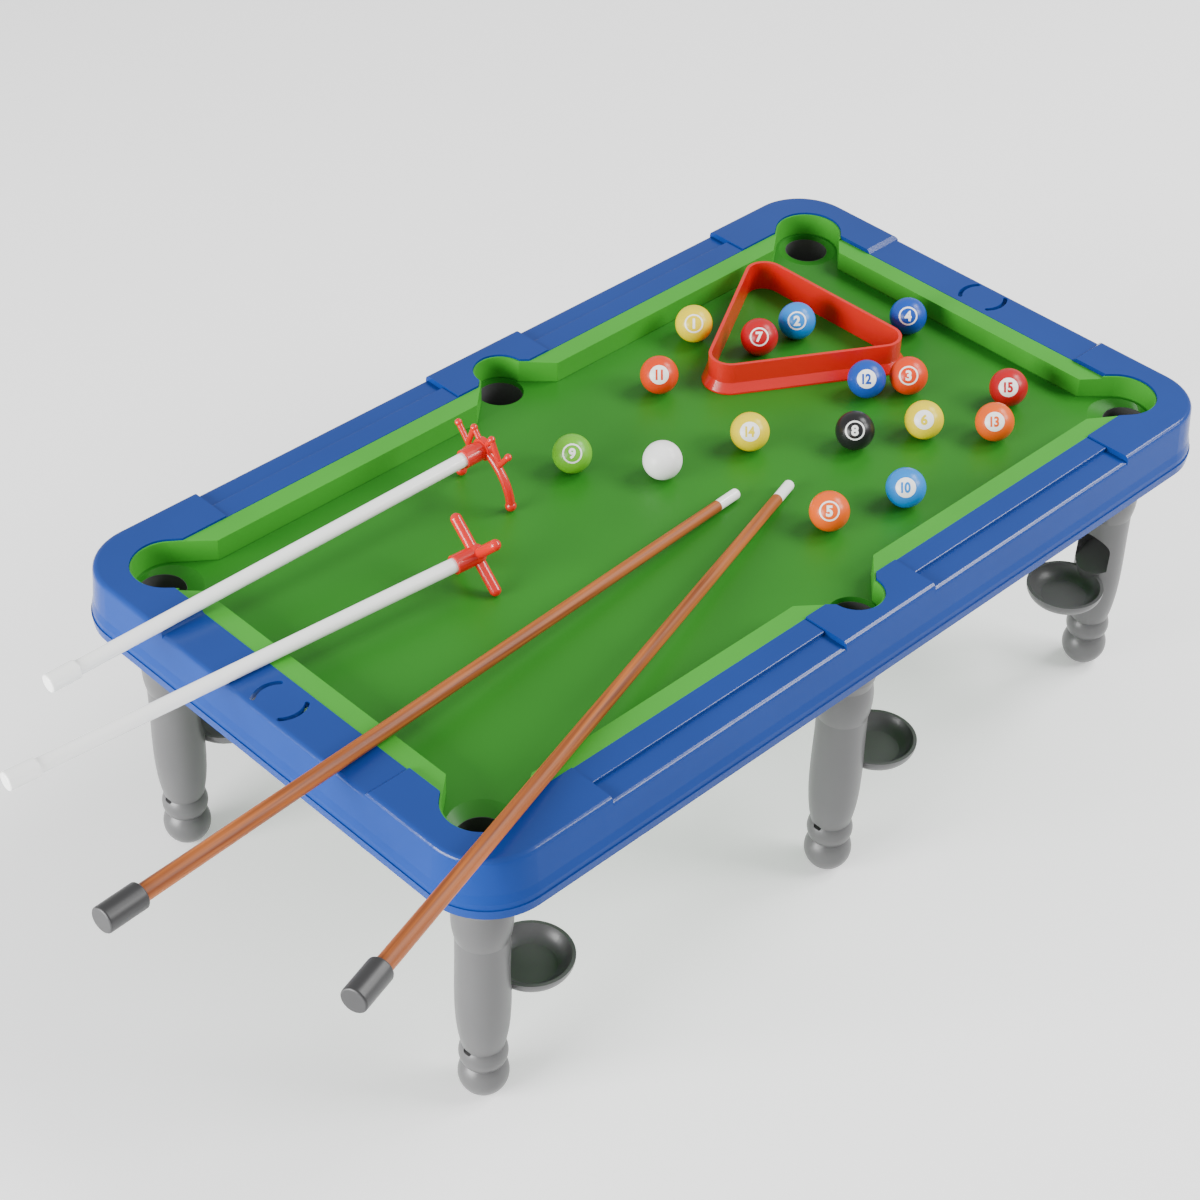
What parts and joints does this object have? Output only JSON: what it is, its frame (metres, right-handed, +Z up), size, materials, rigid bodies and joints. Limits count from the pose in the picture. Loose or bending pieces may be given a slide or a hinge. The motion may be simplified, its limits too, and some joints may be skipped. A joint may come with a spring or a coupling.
{
  "type": "mini pool table",
  "caption": "Tabletop toy pool table with hollow ball-return legs and cups, numbered balls, a triangle rack, cues and two bridge rests.",
  "frame": {"origin": "on the floor below the middle of the bed", "axes": "+X along the table, +Y across it towards the back rail, +Z up"},
  "size_m": [0.656, 0.3269, 0.2069],
  "materials": {
    "blue_plastic": "glossy moulded plastic",
    "green_plastic": "satin moulded plastic",
    "grey_plastic": "satin moulded plastic",
    "red_plastic": "glossy moulded plastic",
    "white_plastic": "smooth moulded plastic",
    "cue_brown": "plastic with a printed wood grain",
    "cap_black": "soft sheen moulded plastic",
    "screw_steel": "zinc plated steel",
    "ball_white": "polished plastic",
    "ball_yellow": "polished plastic",
    "ball_light_blue": "polished plastic",
    "ball_red": "polished plastic",
    "ball_royal_blue": "polished plastic",
    "ball_orange": "polished plastic",
    "ball_dark_red": "polished plastic",
    "ball_black": "polished plastic",
    "ball_green": "polished plastic"
  },
  "bodies": {
    "table": {"outer_frame": "blue_plastic", "play_deck": "green_plastic", "frame_screws": "screw_steel", "leg_left_front": "grey_plastic", "leg_left_back": "grey_plastic", "leg_middle_front": "grey_plastic", "leg_middle_back": "grey_plastic", "leg_right_front": "grey_plastic", "leg_right_back": "grey_plastic"},
    "cue_ball": {"cue_ball": "ball_white"},
    "ball_1": {"ball_1": "ball_yellow"},
    "ball_2": {"ball_2": "ball_light_blue"},
    "ball_3": {"ball_3": "ball_red"},
    "ball_4": {"ball_4": "ball_royal_blue"},
    "ball_5": {"ball_5": "ball_orange"},
    "ball_6": {"ball_6": "ball_yellow"},
    "ball_7": {"ball_7": "ball_dark_red"},
    "ball_8": {"ball_8": "ball_black"},
    "ball_9": {"ball_9": "ball_green"},
    "ball_10": {"ball_10": "ball_light_blue"},
    "ball_11": {"ball_11": "ball_red"},
    "ball_12": {"ball_12": "ball_royal_blue"},
    "ball_13": {"ball_13": "ball_orange"},
    "ball_14": {"ball_14": "ball_yellow"},
    "ball_15": {"ball_15": "ball_dark_red"},
    "rack": {"rack": "red_plastic"},
    "cue_1": {"cue_1_tip": "white_plastic", "cue_1_shaft": "cue_brown", "cue_1_cap": "cap_black"},
    "cue_2": {"cue_2_tip": "white_plastic", "cue_2_shaft": "cue_brown", "cue_2_cap": "cap_black"},
    "spider_rest": {"spider_rest_rod": "white_plastic", "spider_rest_cap": "white_plastic", "spider_rest_head": "red_plastic"},
    "cross_rest": {"cross_rest_rod": "white_plastic", "cross_rest_cap": "white_plastic", "cross_rest_head": "red_plastic"}
  },
  "joints": [
    {"name": "cue_ball_lift", "type": "slide", "parent": "table", "child": "cue_ball", "axis": [0, 0, 1], "range_m": [0, 0.06]},
    {"name": "ball_1_lift", "type": "slide", "parent": "table", "child": "ball_1", "axis": [0, 0, 1], "range_m": [0, 0.06]},
    {"name": "ball_2_lift", "type": "slide", "parent": "table", "child": "ball_2", "axis": [0, 0, 1], "range_m": [0, 0.06]},
    {"name": "ball_3_lift", "type": "slide", "parent": "table", "child": "ball_3", "axis": [0, 0, 1], "range_m": [0, 0.06]},
    {"name": "ball_4_lift", "type": "slide", "parent": "table", "child": "ball_4", "axis": [0, 0, 1], "range_m": [0, 0.06]},
    {"name": "ball_5_lift", "type": "slide", "parent": "table", "child": "ball_5", "axis": [0, 0, 1], "range_m": [0, 0.06]},
    {"name": "ball_6_lift", "type": "slide", "parent": "table", "child": "ball_6", "axis": [0, 0, 1], "range_m": [0, 0.06]},
    {"name": "ball_7_lift", "type": "slide", "parent": "table", "child": "ball_7", "axis": [0, 0, 1], "range_m": [0, 0.06]},
    {"name": "ball_8_lift", "type": "slide", "parent": "table", "child": "ball_8", "axis": [0, 0, 1], "range_m": [0, 0.06]},
    {"name": "ball_9_lift", "type": "slide", "parent": "table", "child": "ball_9", "axis": [0, 0, 1], "range_m": [0, 0.06]},
    {"name": "ball_10_lift", "type": "slide", "parent": "table", "child": "ball_10", "axis": [0, 0, 1], "range_m": [0, 0.06]},
    {"name": "ball_11_lift", "type": "slide", "parent": "table", "child": "ball_11", "axis": [0, 0, 1], "range_m": [0, 0.06]},
    {"name": "ball_12_lift", "type": "slide", "parent": "table", "child": "ball_12", "axis": [0, 0, 1], "range_m": [0, 0.06]},
    {"name": "ball_13_lift", "type": "slide", "parent": "table", "child": "ball_13", "axis": [0, 0, 1], "range_m": [0, 0.06]},
    {"name": "ball_14_lift", "type": "slide", "parent": "table", "child": "ball_14", "axis": [0, 0, 1], "range_m": [0, 0.06]},
    {"name": "ball_15_lift", "type": "slide", "parent": "table", "child": "ball_15", "axis": [0, 0, 1], "range_m": [0, 0.06]},
    {"name": "rack_lift", "type": "slide", "parent": "table", "child": "rack", "axis": [0, 0, 1], "range_m": [0, 0.06]},
    {"name": "cue_1_lift", "type": "slide", "parent": "table", "child": "cue_1", "axis": [0, 0, 1], "range_m": [0, 0.08]},
    {"name": "cue_2_lift", "type": "slide", "parent": "table", "child": "cue_2", "axis": [0, 0, 1], "range_m": [0, 0.08]},
    {"name": "spider_rest_lift", "type": "slide", "parent": "table", "child": "spider_rest", "axis": [0, 0, 1], "range_m": [0, 0.08]},
    {"name": "cross_rest_lift", "type": "slide", "parent": "table", "child": "cross_rest", "axis": [0, 0, 1], "range_m": [0, 0.08]}
  ]
}
